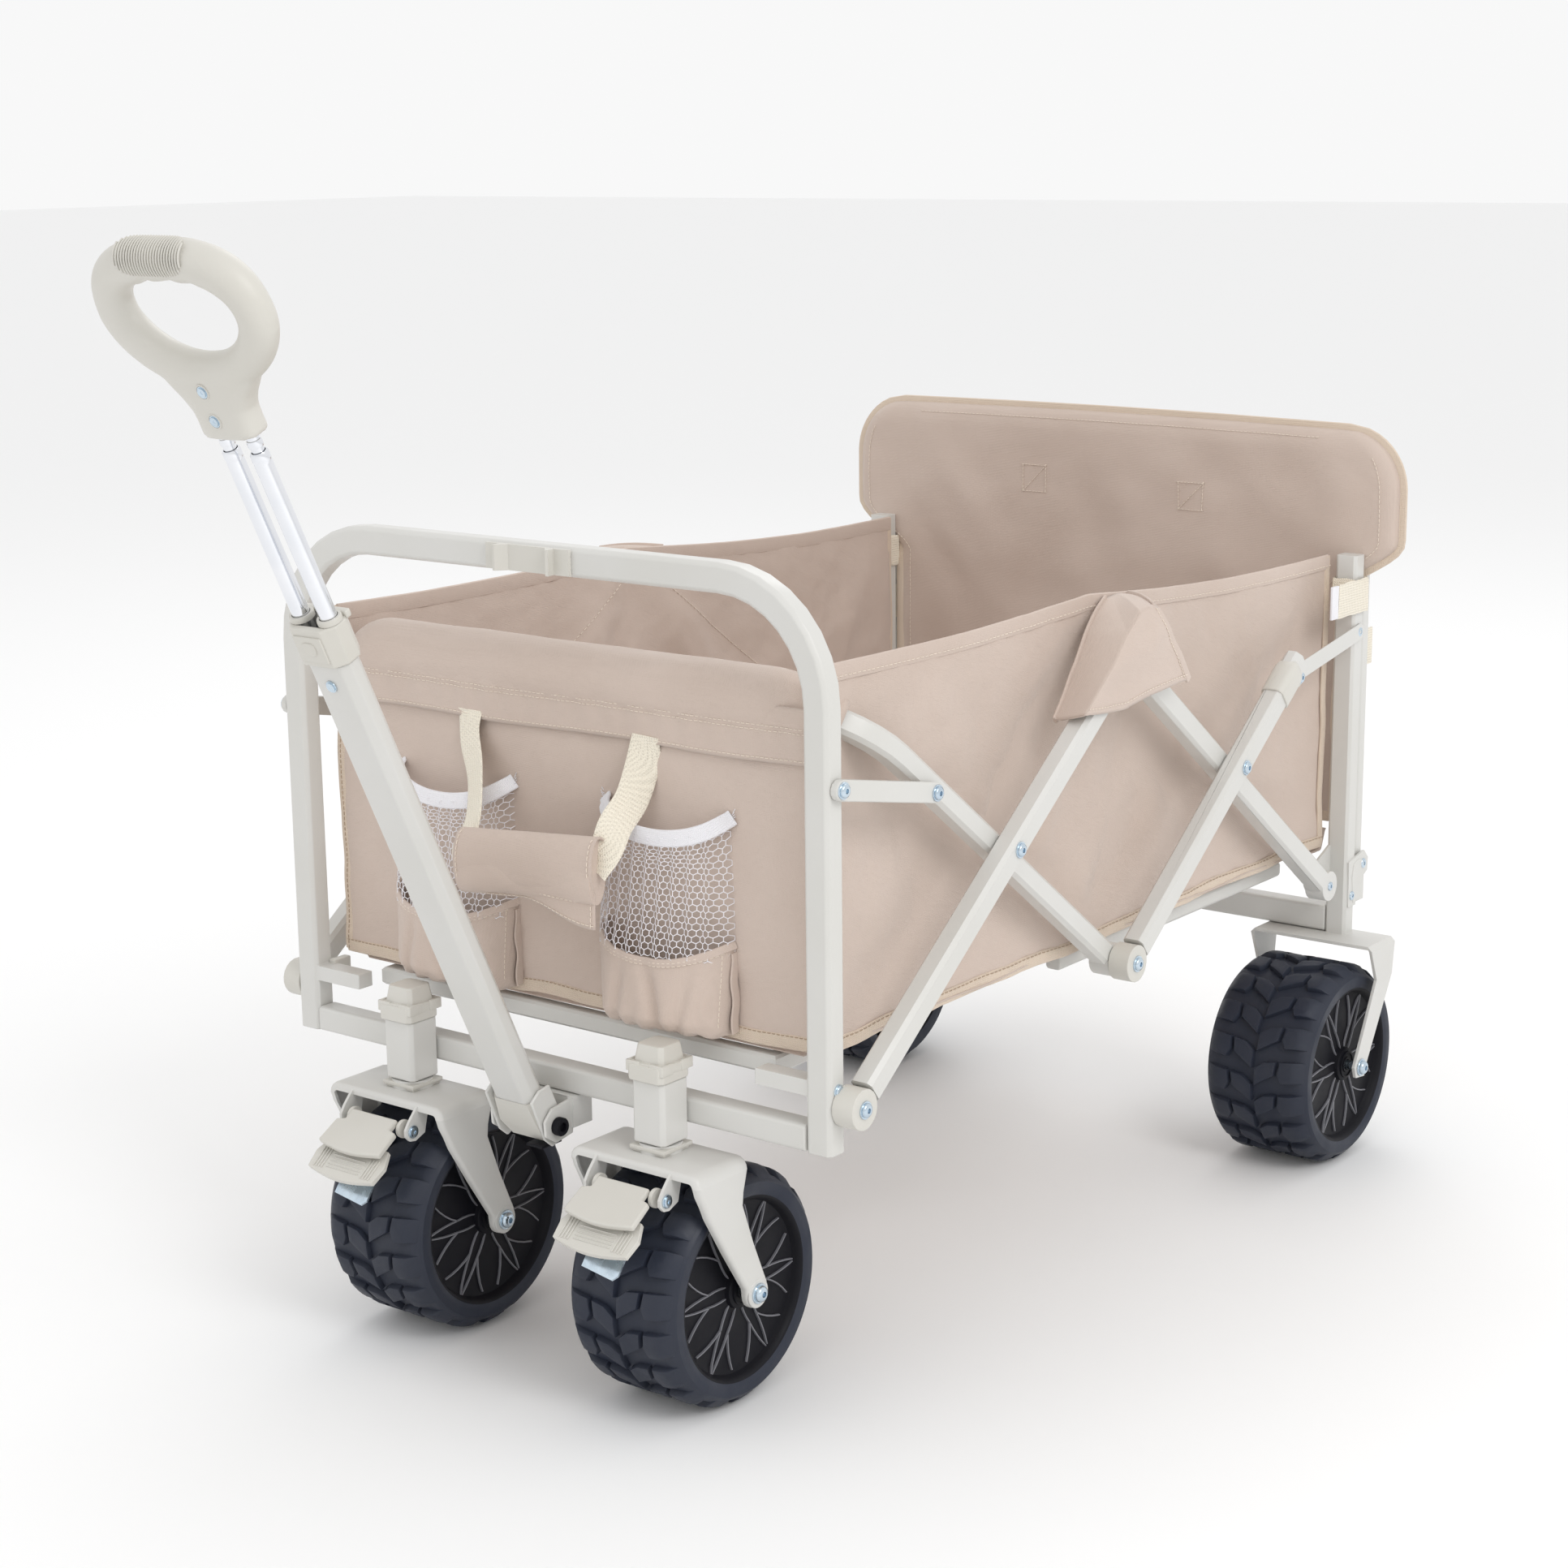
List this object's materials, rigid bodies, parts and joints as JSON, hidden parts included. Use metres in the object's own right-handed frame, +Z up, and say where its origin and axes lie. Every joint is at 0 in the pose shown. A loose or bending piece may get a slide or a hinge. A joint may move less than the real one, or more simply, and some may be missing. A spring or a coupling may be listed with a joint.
{
  "type": "folding beach cart",
  "caption": "Folding beach cart with a fabric basket on scissor side frames, wide sand wheels on swivel and fixed forks, a telescoping pull handle and a drop-down tailgate.",
  "frame": {"origin": "on the ground, under the middle of the whole cart including its leaning pull handle", "axes": "+X forward towards the pull handle, +Y to the cart's left, +Z up"},
  "size_m": [1.1719, 0.6166, 0.8642],
  "materials": {
    "cream_paint": "satin powder coat",
    "cream_plastic": "moulded, fine satin",
    "fabric": "coated polyester weave",
    "webbing": "woven polyester tape",
    "tyre": "moulded black rubber",
    "rim": "black moulded plastic",
    "chrome": "polished",
    "zinc": "clear zinc plate",
    "black_plastic": "black oxide"
  },
  "bodies": {
    "frame": {"front_hoop": "cream_paint", "front_crossbar": "cream_paint", "castor_sleeve_left": "cream_paint", "castor_sleeve_right": "cream_paint", "sleeve_cap_left": "cream_plastic", "sleeve_cap_right": "cream_plastic", "handle_bracket": "cream_paint", "handle_clip": "cream_plastic", "handle_pivot_bolt": "black_plastic"},
    "front_arms": {"front_arm_left": "cream_paint", "front_arm_right": "cream_paint", "front_knuckle_left": "cream_plastic", "front_knuckle_right": "cream_plastic"},
    "bag_hoop": {"bag_hoop": "cream_paint", "bag_front_roll": "fabric"},
    "rear_lower_arms": {"rear_lower_arm_left": "cream_paint", "rear_lower_arm_right": "cream_paint"},
    "rear_upper_arms": {"rear_upper_arm_left": "cream_paint", "rear_upper_arm_right": "cream_paint", "mid_knuckle_left": "cream_plastic", "mid_knuckle_right": "cream_plastic"},
    "front_struts": {"front_strut_left": "cream_paint", "front_strut_right": "cream_paint"},
    "rear_struts": {"rear_strut_left": "cream_paint", "rear_strut_right": "cream_paint"},
    "rear_frame": {"rear_post_left": "cream_paint", "rear_post_right": "cream_paint", "rear_crossbar": "cream_paint", "rear_axle_left": "zinc", "rear_axle_right": "zinc"},
    "bed_front": {"bed_front_frame": "cream_paint", "bed_pad_front": "fabric"},
    "bed_rear": {"bed_rear_frame": "cream_paint", "bed_pad_rear": "fabric"},
    "bag": {"bag_front": "fabric", "bag_side_left": "fabric", "bag_side_right": "fabric", "carry_handle": "webbing"},
    "tailgate": {"gate_tube": "cream_paint", "gate_cloth": "fabric"},
    "handle": {"handle_lug": "cream_plastic", "handle_tube": "cream_paint", "handle_collar": "cream_plastic"},
    "handle_latch": {"handle_latch": "cream_plastic"},
    "lower_rods": {"handle_lower_rods": "chrome"},
    "grip": {"grip": "cream_plastic"},
    "castor_left": {"castor_fork_left": "cream_paint", "castor_axle_left": "zinc"},
    "front_wheel_left": {"tyre_front_left": "tyre", "rim_front_left": "rim"},
    "rear_wheel_left": {"tyre_rear_left": "tyre", "rim_rear_left": "rim"},
    "brake_left": {"brake_pedal_left": "cream_plastic"},
    "castor_right": {"castor_fork_right": "cream_paint", "castor_axle_right": "zinc"},
    "front_wheel_right": {"tyre_front_right": "tyre", "rim_front_right": "rim"},
    "rear_wheel_right": {"tyre_rear_right": "tyre", "rim_rear_right": "rim"},
    "brake_right": {"brake_pedal_right": "cream_plastic"}
  },
  "joints": [
    {"name": "fold", "type": "hinge", "parent": "frame", "child": "front_arms", "pos_m": [0.2285, 0, 0.25], "axis": [0, 1, 0], "range_deg": [0, 35], "deforming": ["bag_side_left", "bag_side_right", "bed_pad_front", "bed_pad_rear", "bag_front_roll", "carry_handle"]},
    {"name": "front_cross", "type": "hinge", "parent": "front_arms", "child": "bag_hoop", "pos_m": [0.034, 0, 0.3955], "axis": [0, 1, 0], "range_deg": [-70.5, 0]},
    {"name": "apex", "type": "hinge", "parent": "front_arms", "child": "rear_lower_arms", "pos_m": [-0.13599, 0, 0.52268], "axis": [0, 1, 0], "range_deg": [-70.5, 0]},
    {"name": "rear_cross", "type": "hinge", "parent": "rear_lower_arms", "child": "rear_upper_arms", "pos_m": [-0.30599, 0, 0.3955], "axis": [0, 1, 0], "range_deg": [0, 70.5]},
    {"name": "rear_level", "type": "hinge", "parent": "rear_lower_arms", "child": "rear_frame", "pos_m": [-0.50049, 0, 0.25], "axis": [0, 1, 0], "range_deg": [0, 35.5]},
    {"name": "front_strut", "type": "hinge", "parent": "frame", "child": "front_struts", "pos_m": [0.235, 0, 0.476], "axis": [0, 1, 0], "range_deg": [0, 76.5]},
    {"name": "rear_strut", "type": "hinge", "parent": "rear_frame", "child": "rear_struts", "pos_m": [-0.5435, 0, 0.473], "axis": [0, 1, 0], "range_deg": [-69, 0]},
    {"name": "bed_front_fold", "type": "hinge", "parent": "frame", "child": "bed_front", "pos_m": [0.2105, 0, 0.262], "axis": [0, 1, 0], "range_deg": [0, 69.5]},
    {"name": "bed_rear_fold", "type": "hinge", "parent": "rear_frame", "child": "bed_rear", "pos_m": [-0.48249, 0, 0.262], "axis": [0, 1, 0], "range_deg": [-69.5, 0]},
    {"name": "bag_rise", "type": "slide", "parent": "frame", "child": "bag", "axis": [0, 0, 1], "range_m": [0, 0.159]},
    {"name": "tailgate_hinge", "type": "hinge", "parent": "rear_frame", "child": "tailgate", "pos_m": [-0.564, 0, 0.258], "axis": [0, -1, 0], "range_deg": [0, 95]},
    {"name": "handle_pitch", "type": "hinge", "parent": "frame", "child": "handle", "pos_m": [0.2635, 0, 0.196], "axis": [0, 1, 0], "range_deg": [-15, 60]},
    {"name": "latch_slide", "type": "slide", "parent": "handle", "child": "handle_latch", "axis": [0.4274, 0, 0.9041], "range_m": [0, 0.004], "stiffness_N_per_m": 400},
    {"name": "lower_rod_slide", "type": "slide", "parent": "handle", "child": "lower_rods", "axis": [0.4274, 0, 0.9041], "range_m": [-0.125, 0]},
    {"name": "upper_rod_slide", "type": "slide", "parent": "lower_rods", "child": "grip", "axis": [0.4274, 0, 0.9041], "range_m": [0, 0.12]},
    {"name": "castor_swivel_left", "type": "hinge", "parent": "frame", "child": "castor_left", "pos_m": [0.2598, 0.1245, 0], "axis": [0, 0, 1], "continuous": true},
    {"name": "front_wheel_spin_left", "type": "hinge", "parent": "castor_left", "child": "front_wheel_left", "pos_m": [0.2258, 0.1245, 0.09], "axis": [0, 1, 0], "continuous": true},
    {"name": "rear_wheel_spin_left", "type": "hinge", "parent": "rear_frame", "child": "rear_wheel_left", "pos_m": [-0.496, 0.242, 0.09], "axis": [0, 1, 0], "continuous": true},
    {"name": "brake_press_left", "type": "hinge", "parent": "castor_left", "child": "brake_left", "pos_m": [0.2975, 0.1245, 0.177], "axis": [0, 1, 0], "range_deg": [0, 16]},
    {"name": "castor_swivel_right", "type": "hinge", "parent": "frame", "child": "castor_right", "pos_m": [0.2598, -0.1245, 0], "axis": [0, 0, 1], "continuous": true},
    {"name": "front_wheel_spin_right", "type": "hinge", "parent": "castor_right", "child": "front_wheel_right", "pos_m": [0.2258, -0.1245, 0.09], "axis": [0, 1, 0], "continuous": true},
    {"name": "rear_wheel_spin_right", "type": "hinge", "parent": "rear_frame", "child": "rear_wheel_right", "pos_m": [-0.496, -0.242, 0.09], "axis": [0, 1, 0], "continuous": true},
    {"name": "brake_press_right", "type": "hinge", "parent": "castor_right", "child": "brake_right", "pos_m": [0.2975, -0.1245, 0.177], "axis": [0, 1, 0], "range_deg": [0, 16]}
  ],
  "couplings": [
    {"joint": "front_cross", "follows": "fold", "ratio": -2},
    {"joint": "apex", "follows": "fold", "ratio": -2},
    {"joint": "rear_cross", "follows": "fold", "ratio": 2},
    {"joint": "rear_level", "follows": "fold", "ratio": 1},
    {"joint": "front_strut", "follows": "fold", "ratio": 2.15},
    {"joint": "rear_strut", "follows": "fold", "ratio": -1.95},
    {"joint": "bed_front_fold", "follows": "fold", "ratio": 1.971},
    {"joint": "bed_rear_fold", "follows": "fold", "ratio": -1.971},
    {"joint": "bag_rise", "follows": "fold", "m_per_rad": 0.2586}
  ]
}
